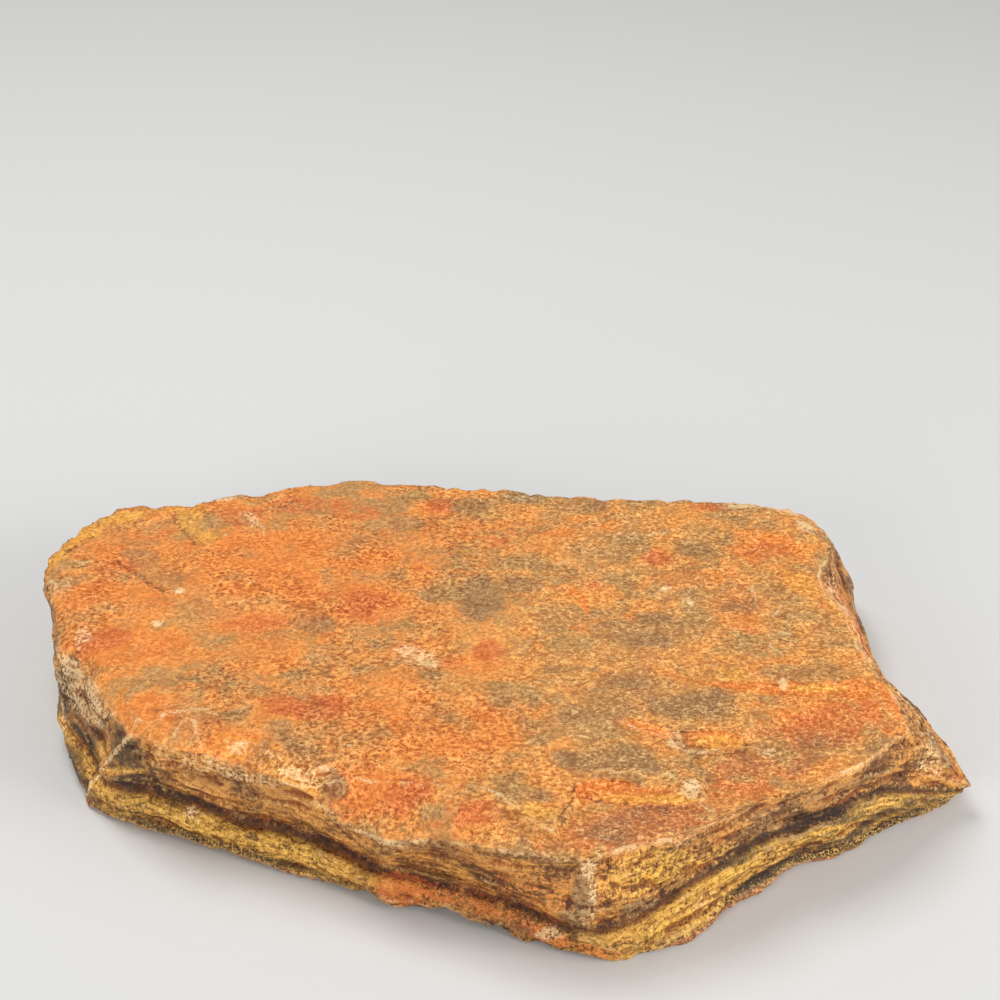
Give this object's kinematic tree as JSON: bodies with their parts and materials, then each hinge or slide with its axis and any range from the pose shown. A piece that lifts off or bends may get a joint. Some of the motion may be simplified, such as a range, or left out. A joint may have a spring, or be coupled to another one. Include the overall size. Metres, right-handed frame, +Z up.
{
  "type": "rough tiger eye slab",
  "caption": "Rough slab of tiger eye with a split, plated top, broken layered walls, a pointed right end and a flat underside to rest on.",
  "frame": {"origin": "middle of the bounding box's bottom, on the plane that the slab rests on", "axes": "+Z up through the slab's layers, +X along its length towards the pointed end, +Y from the long front edge to the long far edge"},
  "size_m": [0.2744, 0.1764, 0.0385],
  "materials": {
    "tiger_eye": "rough split stone, orange-brown with golden and dark silky layers in the walls"
  },
  "bodies": {
    "root": {"stone": "tiger_eye"}
  },
  "joints": []
}
